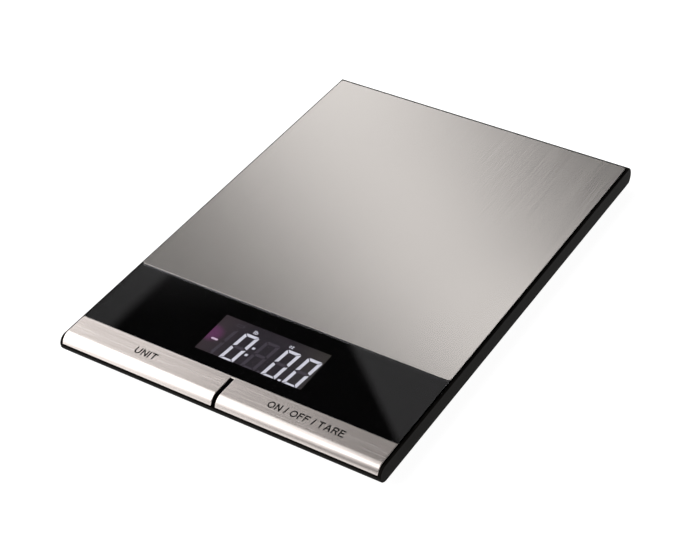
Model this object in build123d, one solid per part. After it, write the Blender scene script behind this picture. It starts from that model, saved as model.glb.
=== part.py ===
"""A slim kitchen scale: a steel platform, a black display window and two steel-faced keys in a black tub.

All sizes are millimetres. X runs to the right, Y to the back and Z up. The origin is the centre of the
footprint, on the surface that the four rubber feet stand on. The keys and display are at negative Y.
"""

import os

from build123d import *

# ---------------------------------------------------------------- overall sizes
WIDTH = 160.0
DEPTH = 230.0
HEIGHT = 12.0
HALF = WIDTH / 2
FRONT = -DEPTH / 2
BACK = DEPTH / 2
PROUD = 0.9  # plate, window and keys stand this far above the tub's cheeks
GROOVE = 0.25  # gap beside and behind the platform and the window
SEAM = 0.15  # gap in front of and behind the window

# ---------------------------------------------------------------- tub
FOOT_STAND = 2.4  # how far the feet hold the tub off the table
WALL = 1.4
RIM = 1.1  # cheek thickness beside the platform
CHEEK = 1.6  # cheek thickness lower down
RIM_TOP = HEIGHT - PROUD
FLOOR = FOOT_STAND + WALL
BACK_MID_Z = (RIM_TOP + FOOT_STAND) / 2
BACK_R = 5.8  # the back wall bulges in a shallow arc
BACK_MID_Y = BACK - BACK_R
BACK_CORNER_Y = BACK_MID_Y + (BACK_R**2 - (RIM_TOP - BACK_MID_Z) ** 2) ** 0.5
TUB_EDGE_R = 0.3
CAVITY_HALF = HALF - CHEEK
POCKET_HALF = HALF - RIM
POCKET_Z = 9.2  # above this the cheeks thin down to the rim
LIP_TOP = 7.35
LIP_R = 4.8  # the nose's round under side
LIP_Y = FRONT + LIP_R
LIP_Z = FOOT_STAND + LIP_R
NOSE_R = RIM_TOP - LIP_Z  # the cheeks' rounded front ends above it
NOSE_Y = FRONT + NOSE_R
LIP_LEDGE_LOW = 6.5  # a ledge and a low wall behind the lip close the slot under the keys
LIP_WALL_FRONT = FRONT + 2.4
LIP_WALL_BACK = FRONT + 3.1
LIP_WALL_TOP = 8.05
STIFFENER = 0.8
STIFFENER_HEIGHT = 1.2
STIFFENER_X = (30.0, 54.0)
STIFFENER_Y = (-20.0, 25.0, 68.0)
STIFFENER_FRONT = -56.2
OVER = 5.0  # how far a cutting tool reaches past the outside
PAST = 1.0  # and past an inside face

# ---------------------------------------------------------------- platform
PLATE_FRONT = -57.3
PLATE_BACK = BACK - 3.9
PLATE_HALF = POCKET_HALF - GROOVE
PLATE_THICK = 0.6
PLATE_CORNER_R = 1.2
PLATE_EDGE_R = 0.08
TRAY_INSET = 0.5
TRAY_THICK = 1.5
TRAY_TOP = HEIGHT - PLATE_THICK
TRAY_UNDER = TRAY_TOP - TRAY_THICK
TRAY_SKIRT = 1.2
TRAY_SKIRT_UNDER = TRAY_UNDER - 1.4
TRAY_RIB = 1.0
TRAY_RIB_UNDER = TRAY_UNDER - 2.0
TRAY_RIB_X = (-46.0, -27.0, 26.0, 45.0)
TRAY_RIB_Y = (-30.0, 66.0, 103.0)
SKIRT_GAP = 0.5  # between skirts and the cheeks
TRAVEL = 0.4  # the load cell's bending at full load
STOP_GAP = TRAVEL + 0.05
STOP_R = 3.0
STOP_CLEAR_R = 4.0
STOPS = [(x, y) for x in (-64.0, 64.0) for y in (-46.0, 97.0)]

# ---------------------------------------------------------------- load cell
CELL_LENGTH = 60.0
CELL_HALF = 6.0
CELL_MID_Y = (PLATE_FRONT + PLATE_BACK) / 2
CELL_FRONT = CELL_MID_Y - CELL_LENGTH / 2
CELL_BACK = CELL_MID_Y + CELL_LENGTH / 2
CELL_GAP = 0.55  # boss height that keeps the beam's middle clear of floor and tray
CELL_UNDER = FLOOR + CELL_GAP
CELL_TOP = TRAY_UNDER - CELL_GAP
CELL_MID_Z = (CELL_UNDER + CELL_TOP) / 2
CELL_END = 17.0  # clamped length at each end
CELL_BOSS = 1.0  # how far the bosses reach past the beam
CELL_BORE_R = 1.75
CELL_BORE_Y = 6.0  # bending webs stand this far each side of the middle
CELL_SLOT = 1.2
CELL_SCREW_INSETS = (4.5, 12.5)
CELL_SCREW_R = 1.5
CELL_SCREW_HEAD_R = 2.7
CELL_SCREW_HEAD = 1.0
CELL_SCREW_SHORT = 1.0  # how far the tips stay inside the beam
HEAD_GAP = 0.2
SHANK_GAP = 0.1
SLOT_LONG = 1.3  # a screw slot's length and width as shares of the head's radius
SLOT_WIDE = 0.24
SLOT_DEEP = 0.45  # and its depth as a share of the head's height
THREAD_GAP = 0.02
SINK = 1.1  # depth of a screw-head recess
POTTING_HALF = 5.0
POTTING_LENGTH = 16.0
POTTING = 0.35
POTTING_MARGIN = 2.0

# ---------------------------------------------------------------- window and deck
WINDOW_BACK = PLATE_FRONT - SEAM
WINDOW_FRONT = -98.95
WINDOW_THICK = 1.2
WINDOW_UNDER = HEIGHT - WINDOW_THICK
WINDOW_EDGE_R = 0.08
MASK = 0.08
GLUE = 0.02  # clear glue between mask and pane
DECK_TOP = WINDOW_UNDER - MASK - GLUE
DECK_THICK = 0.9
DECK_UNDER = DECK_TOP - DECK_THICK
DECK_HALF = POCKET_HALF - 0.3
DECK_SKIRT = 1.0
DECK_SKIRT_UNDER = 7.6
DECK_POST_R = 2.6
DECK_POSTS = [(x, y) for x, y in ((-72.0, -64.5), (72.0, -64.5), (-57.0, -90.0), (57.0, -90.0))]
DECK_BOSS_TOP = 5.0
DECK_BOSS_R = 3.2
TONGUE_HALF = 6.0  # the tongue under the gap between the keys, which hides the board
TONGUE_FRONT = -111.7
TONGUE_TOP = 7.95
TONGUE_THICK = 0.7
TONGUE_ROOT = 1.2
DECK_SCREW_R = 1.0
DECK_SCREW_HEAD_R = 1.9
DECK_SCREW_HEAD = 1.2
DECK_SCREW_TOP = 8.6
DECK_HOLE_TOP = 9.0
DECK_SCREW_SINK = 1.6

# ---------------------------------------------------------------- display
LCD_X = 1.2
LCD_Y = -79.5
LCD_LENGTH = 60.0
LCD_WIDTH = 31.0
LCD_LEDGE = 3.0  # strip of the upper glass that the rubber connector presses on
LCD_GLASS = 1.2
LCD_FILM = 0.2
FILM_MARGIN = 1.0
VIEW_LENGTH = 53.4
VIEW_WIDTH = 24.0
LCD_TOP = WINDOW_UNDER - 0.4
LCD_UPPER = LCD_TOP - LCD_FILM - LCD_GLASS
LCD_UNDER = LCD_UPPER - LCD_GLASS
OPENING_MARGIN = 0.5
HOLDER_WALL = 1.2
HOLDER_GAP = 0.1
HOLDER_TOP = DECK_UNDER - 0.1
GUIDE_LENGTH = 56.0
GUIDE_WIDTH = 26.0
GUIDE_INSET = 1.0  # from the display cell's front and right edges
GUIDE_LEFT = LCD_X + LCD_LENGTH / 2 - GUIDE_INSET - GUIDE_LENGTH
GUIDE_FRONT = LCD_Y - LCD_WIDTH / 2 + GUIDE_INSET
LED_GAP = 0.1
LED_COUNT = 3
LED_PITCH = 8.0
LED_LENGTH = 3.2
LED_DEEP = 1.3
LED_TALL = 1.5
ZEBRA_LENGTH = 52.0
ZEBRA_THICK = 1.8
ZEBRA_INSET = 0.4

# ---------------------------------------------------------------- circuit board
BOARD_HALF = 50.0
BOARD_FRONT = -111.8
BOARD_BACK = -60.2
BOARD_THICK = 1.0
BOARD_CORNER_R = 1.0
BOARD_TOP = LCD_UNDER - 1.9
BOARD_UNDER = BOARD_TOP - BOARD_THICK
BOARD_POST_R = 2.4
BOARD_SCREWS = [(x, y) for x in (-46.0, 46.0) for y in (-103.0, -66.0)]
BOARD_SCREW_R = 0.9
BOARD_SCREW_HEAD_R = 1.8
BOARD_SCREW_HEAD = 1.1
BOARD_SCREW_END = 3.0
BOARD_HOLE_GAP = 0.15
BLOB_R = 5.0
BLOB_TALL = 1.2
BLOB_EDGE_R = 0.96
BLOB_Y = -104.0
CHIP_PITCH = 3.4
CHIP_ROWS = (-99.6, -102.4, -105.2)
CHIP_COLUMNS = 6
CHIP_START_X = 15.0
CHIP_LENGTH = 2.0
CHIP_WIDTH = 1.2
CHIP_TALL = 0.7

# ---------------------------------------------------------------- keys
KEY_BACK = WINDOW_FRONT - SEAM
KEY_END = POCKET_HALF - 0.3
KEY_GAP = 2.0
KEY_START = KEY_GAP / 2
KEY_R = 5.0
KEY_ARC_Y = FRONT + KEY_R
KEY_ARC_Z = HEIGHT - KEY_R
KEY_LOW = LIP_TOP + 0.85
KEY_BRIDGE = 1.0  # the right key's facing closes the gap's rear end with a short bridge this wide
KEY_BRIDGE_GAP = 0.12
FACING = 0.5
FACING_EDGE_R = 0.2
CARRIER = 1.3
CARRIER_TOP = HEIGHT - FACING
CARRIER_UNDER = CARRIER_TOP - CARRIER
CARRIER_BACK_INSET = 0.2
CARRIER_WEB = 1.2
CARRIER_WEB_LOW = 8.6
CARRIER_RIBS = 4
PIVOT_Y = -100.4
PIVOT_Z = 8.7
PIVOT_PIN_R = 0.65
PIVOT_BORE_R = 0.70
EAR_R = 1.3
EAR_THICK = 2.0
EAR_ROOT = 2.0
EAR_X = (8.0, 72.0)
LUG_GAP = 0.4
LUG_THICK = 2.2
LUG_BACK_Y = PIVOT_Y + 0.78
LUG_HUB_R = 1.04
SWITCH_X = 40.0
SWITCH_Y = -108.2
SWITCH_SIDE = 6.0
SWITCH_TALL = 2.0
SWITCH_EDGE_R = 0.3
PLUNGER_R = 1.5
PLUNGER_BORE_R = 1.55
PLUNGER_LOW = 6.6
PLUNGER_TOP = 9.4
PLUNGER_BORE_LOW = 6.25
POST_GAP = 0.05
POST_R = 1.4

# ---------------------------------------------------------------- battery
BAY_HALF = 22.5
BAY_FRONT = 73.7
BAY_BACK = 97.0
BAY_WALL = 1.2
BAY_TOP = 7.9
BAY_ROOF = 1.0
COIN_R = 10.0
COIN_TALL = 3.2
COIN_CAP_R = 8.8
COIN_CAP = 0.3
COIN_EDGE_R = 0.4
COIN_X = 11.2
COIN_Y = 85.6
COIN_LOW = 3.9
LEAF = 0.3
LEAF_WIDTH = 4.0
LEAF_HALF = 17.0
LEAF_DIMPLE_R = 1.2
CLIP_HALF = 16.0
CLIP_LOW = 4.6
CLIP_TOP = 7.2
CLIP_DIMPLE_R = 0.8
CLIP_TOUCH = 0.02
DOOR_HALF = BAY_HALF - 0.3
DOOR_THICK = 1.2
DOOR_PIVOT_Y = 74.9
DOOR_PIVOT_Z = FOOT_STAND + 0.9
DOOR_BARREL_R = 0.7
DOOR_BARREL_HALF = 20.0
DOOR_PIN_R = 0.45
DOOR_BORE_R = 0.50
DOOR_PIN_END = BAY_HALF + 0.8
DOOR_PIN_GAP = 0.1
DOOR_NECK = 1.0  # the strip that joins barrel and panel
DOOR_NECK_LOW = FOOT_STAND + 0.4
DOOR_BACK = BAY_BACK - 0.3
DOOR_TONGUE_HALF = 5.0
DOOR_TONGUE = 0.8
DOOR_TONGUE_BACK = DOOR_BACK - 0.1
DOOR_TONGUE_LOW = FOOT_STAND + 0.3
DOOR_TONGUE_TOP = 5.4
DOOR_SCOOP_R = 5.0
DOOR_SCOOP_DEEP = 0.5

# ---------------------------------------------------------------- feet and wires
FOOT_R = 7.0
FOOT_RECESS = 0.6
FOOT_EDGE_R = 0.5
FOOT_GAP = 0.05
FOOT_SPOTS = {
    "foot_front_left": (-66.0, -97.0),
    "foot_front_right": (66.0, -97.0),
    "foot_rear_left": (-66.0, 97.0),
    "foot_rear_right": (66.0, 97.0),
}
LABEL_LENGTH = 48.0
LABEL_WIDTH = 24.0
LABEL_Y = -20.0
LABEL_THICK = 0.1
LABEL_GAP = 0.3
WIRE_Z = FLOOR + 0.75
WIRE_PAD_Z = BOARD_TOP + 0.65
WIRE_BEND_R = 2.5
BATTERY_WIRE_R = 0.6
BATTERY_WIRE_X = (-14.0, -11.5)
CELL_WIRE_R = 0.45
CELL_WIRE_X = 10.0
CELL_WIRE_PITCH = 1.3
CELL_WIRE_COUNT = 4
CELL_WIRE_START = -2.0  # where the first leaves the cell, from its middle
WIRE_RISE_START = BOARD_BACK + 8.0
WIRE_RISE_END = BOARD_BACK + 2.0
WIRE_END = BOARD_BACK - 1.4


# ---------------------------------------------------------------- shape helpers
def slab(x0, x1, y0, y1, z0, z1):
    """A box between two corners."""
    middle = Pos((x0 + x1) / 2, (y0 + y1) / 2, (z0 + z1) / 2)
    return middle * Box(abs(x1 - x0), abs(y1 - y0), abs(z1 - z0))


def post(x, y, radius, z0, z1):
    """A cylinder standing along Z."""
    return Pos(x, y, (z0 + z1) / 2) * Cylinder(radius, z1 - z0)


def rod(y, z, radius, x0, x1):
    """A cylinder lying along X."""
    return Pos((x0 + x1) / 2, y, z) * Rot(0, 90, 0) * Cylinder(radius, abs(x1 - x0))


def across(outline, x0, x1):
    """Extrudes a closed outline, drawn in Y and Z, from x0 to x1."""
    face = make_face(Plane.YZ * outline)
    return Pos(x0, 0, 0) * extrude(face, x1 - x0)


def wire(points, radius):
    """A round wire along straight runs with tangent bends."""
    path = FilletPolyline(*points, radius=WIRE_BEND_R)
    section = Plane(origin=path @ 0, z_dir=path % 0) * Circle(radius)
    return sweep(section, path=path)


def joined(shapes):
    """One shape holding several separate solids."""
    return Compound(children=[Part(solid.wrapped) for shape in shapes for solid in shape.solids()])


# ---------------------------------------------------------------- tub
def tub_outside():
    """The full-width block: a section from the round nose to the bulging back wall, with softened edges."""
    bottom = Line((LIP_Y, FOOT_STAND), (BACK_CORNER_Y, FOOT_STAND))
    bulge = ThreePointArc((BACK_CORNER_Y, FOOT_STAND), (BACK, BACK_MID_Z), (BACK_CORNER_Y, RIM_TOP))
    top = Line((BACK_CORNER_Y, RIM_TOP), (NOSE_Y, RIM_TOP))
    nose = CenterArc((NOSE_Y, LIP_Z), NOSE_R, 90, 90)
    under = CenterArc((LIP_Y, LIP_Z), LIP_R, 180, 90)
    block = across(bottom + bulge + top + nose + under, -HALF, HALF)
    corners = block.edges().filter_by(Axis.X).filter_by(lambda edge: edge.center().Y > BACK_MID_Y)
    block = fillet(corners, TUB_EDGE_R)
    sides = block.faces().filter_by(Axis.X)
    return fillet(sides.edges(), TUB_EDGE_R)


def tub_cavity():
    """The hollow: a lower part between the thick cheeks and an upper pocket for platform, deck and keys."""
    inner_back = BACK_R - WALL
    inner_lip = LIP_R - WALL
    pocket_back = PLATE_BACK + GROOVE
    back_run = (inner_back**2 - (BACK_MID_Z - FLOOR) ** 2) ** 0.5
    back_rise = (inner_back**2 - (pocket_back - BACK_MID_Y) ** 2) ** 0.5
    lip_run = (inner_lip**2 - (LIP_Z - LIP_TOP) ** 2) ** 0.5
    lip_half = inner_lip * 0.5**0.5
    floor_end = (BACK_MID_Y + back_run, FLOOR)
    pocket_foot = (pocket_back, BACK_MID_Z + back_rise)
    lip_crest = (LIP_Y - lip_run, LIP_TOP)
    outline = (
        Polyline((LIP_Y, FLOOR), floor_end)
        + ThreePointArc(floor_end, (BACK - WALL, BACK_MID_Z), pocket_foot)
        + Polyline(
            pocket_foot,
            (pocket_back, HEIGHT + OVER),
            (FRONT - OVER, HEIGHT + OVER),
            (FRONT - OVER, LIP_TOP),
            lip_crest,
        )
        + ThreePointArc(lip_crest, (LIP_Y - lip_half, LIP_Z - lip_half), (LIP_Y, FLOOR))
    )
    low = across(outline, -CAVITY_HALF, CAVITY_HALF)
    pocket = slab(-POCKET_HALF, POCKET_HALF, FRONT - OVER, pocket_back, POCKET_Z, HEIGHT + OVER)
    key_bay = slab(-POCKET_HALF, POCKET_HALF, FRONT - OVER, WINDOW_FRONT, LIP_TOP, HEIGHT + OVER)
    return low + pocket + key_bay


def tub_stiffeners():
    """Low ribs on the floor, kept away from the load cell, the battery bay, the wires and the board."""
    low, top = FLOOR - WALL / 2, FLOOR + STIFFENER_HEIGHT
    inner, side_end = STIFFENER_X[0], CAVITY_HALF + STIFFENER
    ribs = []
    for side in (-1, 1):
        for x in STIFFENER_X:
            ribs.append(slab(side * x, side * (x + STIFFENER), STIFFENER_FRONT, BACK_MID_Y, low, top))
        for y in STIFFENER_Y:
            ribs.append(slab(side * inner, side * side_end, y, y + STIFFENER, low, top))
    return ribs


def lip_baffle():
    """The ledge and low wall behind the lip that close the slot under the keys."""
    reach = CAVITY_HALF + CHEEK / 2
    ledge = slab(-reach, reach, FRONT + WALL / 2, LIP_WALL_BACK, LIP_LEDGE_LOW, LIP_TOP)
    half = POCKET_HALF - STIFFENER
    return ledge + slab(-half, half, LIP_WALL_FRONT, LIP_WALL_BACK, LIP_LEDGE_LOW, LIP_WALL_TOP)


def tub_bosses():
    """Everything that stands up from the floor and is one piece with it."""
    below = FLOOR - WALL / 2
    shapes = [post(x, y, STOP_R, below, TRAY_UNDER - STOP_GAP) for x, y in STOPS]
    shapes += [post(x, y, BOARD_POST_R, below, BOARD_UNDER) for x, y in BOARD_SCREWS]
    shapes += [post(x, y, DECK_BOSS_R, below, DECK_BOSS_TOP) for x, y in DECK_POSTS]
    half = CELL_HALF + CELL_BOSS
    shapes.append(slab(-half, half, CELL_FRONT - CELL_BOSS, CELL_FRONT + CELL_END, below, CELL_UNDER))
    half = BAY_HALF + BAY_WALL
    shapes.append(slab(-half, half, BAY_FRONT - BAY_WALL, BAY_BACK + BAY_WALL, below, BAY_TOP + BAY_ROOF))
    return shapes


def tub_holes():
    """Screw holes and recesses, foot and label recesses, the battery bay and its hinge bores."""
    under = FOOT_STAND - OVER
    shapes = [post(x, y, BOARD_SCREW_R, BOARD_SCREW_END, BOARD_UNDER + PAST) for x, y in BOARD_SCREWS]
    for x, y in DECK_POSTS:
        shapes.append(post(x, y, DECK_SCREW_HEAD_R + HEAD_GAP, under, FOOT_STAND + DECK_SCREW_SINK))
        shapes.append(post(x, y, DECK_SCREW_R + HEAD_GAP, under, DECK_BOSS_TOP + PAST))
    for inset in CELL_SCREW_INSETS:
        shapes.append(post(0, CELL_FRONT + inset, CELL_SCREW_HEAD_R + HEAD_GAP, under, FOOT_STAND + SINK))
        shapes.append(post(0, CELL_FRONT + inset, CELL_SCREW_R + SHANK_GAP, under, CELL_UNDER + PAST))
    shapes += [post(x, y, FOOT_R + FOOT_GAP, under, FOOT_STAND + FOOT_RECESS) for x, y in FOOT_SPOTS.values()]
    half_l, half_w = LABEL_LENGTH / 2 + LABEL_GAP, LABEL_WIDTH / 2 + LABEL_GAP
    shapes.append(slab(-half_l, half_l, LABEL_Y - half_w, LABEL_Y + half_w, under, FOOT_STAND + LABEL_THICK))
    shapes.append(slab(-BAY_HALF, BAY_HALF, BAY_FRONT, BAY_BACK, under, BAY_TOP))
    bore_end = DOOR_PIN_END + DOOR_PIN_GAP
    shapes.append(rod(DOOR_PIVOT_Y, DOOR_PIVOT_Z, DOOR_BORE_R, -bore_end, bore_end))
    return shapes


def base_shell():
    """The black tub: floor, cheeks, round nose with the front lip, and bulging back wall."""
    shape = tub_outside() - tub_cavity()
    for extra in tub_stiffeners() + tub_bosses() + [lip_baffle()]:
        shape += extra
    for hole in tub_holes():
        shape -= hole
    return shape


# ---------------------------------------------------------------- platform and load cell
def platform_plate():
    """The brushed steel plate that carries the load."""
    shape = slab(-PLATE_HALF, PLATE_HALF, PLATE_FRONT, PLATE_BACK, TRAY_TOP, HEIGHT)
    shape = fillet(shape.edges().filter_by(Axis.Z), PLATE_CORNER_R)
    return fillet(shape.faces().sort_by(Axis.Z)[-1].edges(), PLATE_EDGE_R)


def platform_tray():
    """The plastic tray under the plate: skirt, stiffening ribs and a boss over the load cell's free end."""
    half, front, back = PLATE_HALF - TRAY_INSET, PLATE_FRONT + TRAY_INSET, PLATE_BACK - TRAY_INSET
    shape = slab(-half, half, front, back, TRAY_UNDER, TRAY_TOP)
    skirt = slab(-half, half, front, back, TRAY_SKIRT_UNDER, TRAY_UNDER)
    inner = half - TRAY_SKIRT
    skirt -= slab(-inner, inner, front + TRAY_SKIRT, back - TRAY_SKIRT, TRAY_SKIRT_UNDER, TRAY_UNDER)
    skirt_half = CAVITY_HALF - SKIRT_GAP
    skirt &= slab(-skirt_half, skirt_half, front, back, TRAY_SKIRT_UNDER, TRAY_UNDER)
    shape += skirt
    for x in TRAY_RIB_X:
        shape += slab(x, x + TRAY_RIB, front, back, TRAY_RIB_UNDER, TRAY_UNDER)
    for y in TRAY_RIB_Y:
        shape += slab(-inner, inner, y, y + TRAY_RIB, TRAY_RIB_UNDER, TRAY_UNDER)
    for x, y in STOPS:
        shape += post(x, y, STOP_R, TRAY_UNDER, TRAY_TOP)
        shape -= post(x, y, STOP_CLEAR_R, TRAY_RIB_UNDER, TRAY_UNDER)
    boss_half = CELL_HALF + CELL_BOSS
    shape += slab(-boss_half, boss_half, CELL_BACK - CELL_END, CELL_BACK + CELL_BOSS, CELL_TOP, TRAY_TOP)
    recess = POTTING_LENGTH / 2 + POTTING_MARGIN
    shape -= slab(-CELL_HALF, CELL_HALF, CELL_MID_Y - recess, CELL_MID_Y + recess, TRAY_UNDER,
                  TRAY_UNDER + TRAY_THICK / 2)
    for inset in CELL_SCREW_INSETS:
        shape -= post(0, CELL_BACK - inset, CELL_SCREW_HEAD_R + HEAD_GAP, TRAY_TOP - SINK, TRAY_TOP)
        shape -= post(0, CELL_BACK - inset, CELL_SCREW_R + SHANK_GAP, CELL_TOP, TRAY_TOP)
    return shape


def load_cell():
    """The aluminium bending beam with its double-bore flexure and two threaded holes at each end."""
    shape = slab(-CELL_HALF, CELL_HALF, CELL_FRONT, CELL_BACK, CELL_UNDER, CELL_TOP)
    half = CELL_HALF + PAST
    for y in (CELL_MID_Y - CELL_BORE_Y, CELL_MID_Y + CELL_BORE_Y):
        shape -= rod(y, CELL_MID_Z, CELL_BORE_R, -half, half)
    shape -= slab(-half, half, CELL_MID_Y - CELL_BORE_Y, CELL_MID_Y + CELL_BORE_Y,
                  CELL_MID_Z - CELL_SLOT / 2, CELL_MID_Z + CELL_SLOT / 2)
    for inset in CELL_SCREW_INSETS:
        for y in (CELL_FRONT + inset, CELL_BACK - inset):
            shape -= post(0, y, CELL_SCREW_R + THREAD_GAP, CELL_UNDER, CELL_TOP)
    return shape


def gauge_potting():
    """White sealant over the strain gauges, above and below the flexure."""
    half_y = POTTING_LENGTH / 2
    pads = [(CELL_TOP, CELL_TOP + POTTING), (CELL_UNDER - POTTING, CELL_UNDER)]
    return joined(
        slab(-POTTING_HALF, POTTING_HALF, CELL_MID_Y - half_y, CELL_MID_Y + half_y, low, high)
        for low, high in pads
    )


def headed_screw(x, y, shank_r, head_r, head_low, head_high, tip):
    """A screw along Z: a cross-slotted round head and a plain shank that runs to tip."""
    head = post(x, y, head_r, head_low, head_high)
    down = tip < head_low
    top = head_high if down else head_low
    shank = post(x, y, shank_r, tip, head_low) if down else post(x, y, shank_r, head_high, tip)
    depth = (head_high - head_low) * SLOT_DEEP
    for turn in (0, 90):
        slot = Box(head_r * SLOT_LONG, head_r * SLOT_WIDE, 2 * depth)
        head -= Pos(x, y, top) * Rot(0, 0, turn) * slot
    return head + shank


def cell_screws_lower():
    """Two screws that come up through the floor into the load cell's fixed end."""
    head_top = FOOT_STAND + SINK
    return joined(
        headed_screw(0, CELL_FRONT + inset, CELL_SCREW_R, CELL_SCREW_HEAD_R, head_top - CELL_SCREW_HEAD,
                     head_top, CELL_TOP - CELL_SCREW_SHORT)
        for inset in CELL_SCREW_INSETS
    )


def cell_screws_upper():
    """Two screws that go down through the tray into the load cell's free end."""
    head_low = TRAY_TOP - SINK
    return joined(
        headed_screw(0, CELL_BACK - inset, CELL_SCREW_R, CELL_SCREW_HEAD_R, head_low,
                     head_low + CELL_SCREW_HEAD, CELL_UNDER + CELL_SCREW_SHORT)
        for inset in CELL_SCREW_INSETS
    )


# ---------------------------------------------------------------- window, deck and display
def display_window():
    """The flush tinted pane over the display."""
    shape = slab(-PLATE_HALF, PLATE_HALF, WINDOW_FRONT, WINDOW_BACK, WINDOW_UNDER, HEIGHT)
    return fillet(shape.faces().sort_by(Axis.Z)[-1].edges(), WINDOW_EDGE_R)


def window_mask():
    """The black adhesive mask that frames the display and glues the pane down."""
    shape = slab(-PLATE_HALF, PLATE_HALF, WINDOW_FRONT, WINDOW_BACK, DECK_TOP, DECK_TOP + MASK)
    return shape - slab(LCD_X - VIEW_LENGTH / 2, LCD_X + VIEW_LENGTH / 2, LCD_Y - VIEW_WIDTH / 2,
                        LCD_Y + VIEW_WIDTH / 2, DECK_TOP, DECK_TOP + MASK)


def deck_ear(x):
    """One hinge ear on the deck's front edge."""
    x0, x1 = x - EAR_THICK / 2, x + EAR_THICK / 2
    root = slab(x0, x1, PIVOT_Y, WINDOW_FRONT + EAR_ROOT, PIVOT_Z - EAR_R, PIVOT_Z + EAR_R)
    return rod(PIVOT_Y, PIVOT_Z, EAR_R, x0, x1) + root


def front_deck():
    """The plate under the window: display opening, screw posts, rear skirt, hinge ears and a tongue."""
    shape = slab(-DECK_HALF, DECK_HALF, WINDOW_FRONT, WINDOW_BACK, DECK_UNDER, DECK_TOP)
    half_x, half_y = LCD_LENGTH / 2 + OPENING_MARGIN, LCD_WIDTH / 2 + OPENING_MARGIN
    shape -= slab(LCD_X - half_x, LCD_X + half_x, LCD_Y - half_y, LCD_Y + half_y, DECK_UNDER, DECK_TOP)
    skirt_half = CAVITY_HALF - SKIRT_GAP
    skirt_front = WINDOW_BACK - DECK_SKIRT
    shape += slab(-skirt_half, skirt_half, skirt_front, WINDOW_BACK, DECK_SKIRT_UNDER, DECK_UNDER)
    tongue_low, tongue_back = TONGUE_TOP - TONGUE_THICK, WINDOW_FRONT + TONGUE_ROOT
    shape += slab(-TONGUE_HALF, TONGUE_HALF, TONGUE_FRONT, tongue_back, tongue_low, TONGUE_TOP)
    shape += slab(-TONGUE_HALF, TONGUE_HALF, WINDOW_FRONT, tongue_back, tongue_low, DECK_UNDER)
    for side in (-1, 1):
        for x in EAR_X:
            shape += deck_ear(side * x)
    for x, y in DECK_POSTS:
        shape += post(x, y, DECK_POST_R, DECK_BOSS_TOP, DECK_TOP)
        shape -= post(x, y, DECK_SCREW_R + THREAD_GAP, DECK_BOSS_TOP, DECK_HOLE_TOP)
    for side in (-1, 1):
        for x in EAR_X:
            shape -= rod(PIVOT_Y, PIVOT_Z, PIVOT_BORE_R, side * x - EAR_THICK, side * x + EAR_THICK)
    return shape


def deck_screws():
    """Four screws that come up through the floor into the deck's posts."""
    top = FOOT_STAND + DECK_SCREW_SINK
    return joined(
        headed_screw(x, y, DECK_SCREW_R, DECK_SCREW_HEAD_R, top - DECK_SCREW_HEAD, top, DECK_SCREW_TOP)
        for x, y in DECK_POSTS
    )


def lcd_cell():
    """The liquid crystal cell: two glasses, the upper one longer at the back, and its film."""
    x0, x1 = LCD_X - LCD_LENGTH / 2, LCD_X + LCD_LENGTH / 2
    y0, y1 = LCD_Y - LCD_WIDTH / 2, LCD_Y + LCD_WIDTH / 2
    shape = slab(x0, x1, y0, y1, LCD_UPPER, LCD_UPPER + LCD_GLASS)
    shape += slab(x0, x1, y0, y1 - LCD_LEDGE, LCD_UNDER, LCD_UPPER)
    half_x, half_y = VIEW_LENGTH / 2 + FILM_MARGIN, VIEW_WIDTH / 2 + FILM_MARGIN
    film_low = LCD_UPPER + LCD_GLASS
    shape += slab(LCD_X - half_x, LCD_X + half_x, LCD_Y - half_y, LCD_Y + half_y, film_low, LCD_TOP)
    return shape


def lcd_holder():
    """The frame that holds the display cell, its light guide and the rubber connector on the board."""
    half_x = LCD_LENGTH / 2 + HOLDER_GAP
    half_y = LCD_WIDTH / 2 + HOLDER_GAP
    out_x, out_y = half_x + HOLDER_WALL, half_y + HOLDER_WALL
    shape = slab(LCD_X - out_x, LCD_X + out_x, LCD_Y - out_y, LCD_Y + out_y, BOARD_TOP, HOLDER_TOP)
    shape -= slab(LCD_X - half_x, LCD_X + half_x, LCD_Y - half_y, LCD_Y + half_y, BOARD_TOP, DECK_UNDER)
    return shape


def light_guide():
    """The white light guide behind the display cell."""
    right, back = GUIDE_LEFT + GUIDE_LENGTH, GUIDE_FRONT + GUIDE_WIDTH
    return slab(GUIDE_LEFT, right, GUIDE_FRONT, back, BOARD_TOP, LCD_UNDER)


def backlight_leds():
    """Side-firing lamps at the light guide's left end."""
    x1 = GUIDE_LEFT - LED_GAP
    middle = GUIDE_FRONT + GUIDE_WIDTH / 2
    places = [middle + (i - (LED_COUNT - 1) / 2) * LED_PITCH for i in range(LED_COUNT)]
    return joined(
        slab(x1 - LED_DEEP, x1, y - LED_LENGTH / 2, y + LED_LENGTH / 2, BOARD_TOP, BOARD_TOP + LED_TALL)
        for y in places
    )


def zebra_strip():
    """The striped rubber connector between the board and the upper glass's ledge."""
    y1 = LCD_Y + LCD_WIDTH / 2 - ZEBRA_INSET
    half = ZEBRA_LENGTH / 2
    return slab(LCD_X - half, LCD_X + half, y1 - ZEBRA_THICK, y1, BOARD_TOP, LCD_UPPER)


# ---------------------------------------------------------------- circuit board
def main_board():
    """The circuit board under the display and the keys."""
    shape = slab(-BOARD_HALF, BOARD_HALF, BOARD_FRONT, BOARD_BACK, BOARD_UNDER, BOARD_TOP)
    shape = fillet(shape.edges().filter_by(Axis.Z), BOARD_CORNER_R)
    for x, y in BOARD_SCREWS:
        shape -= post(x, y, BOARD_SCREW_R + BOARD_HOLE_GAP, BOARD_UNDER, BOARD_TOP)
    return shape


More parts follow.
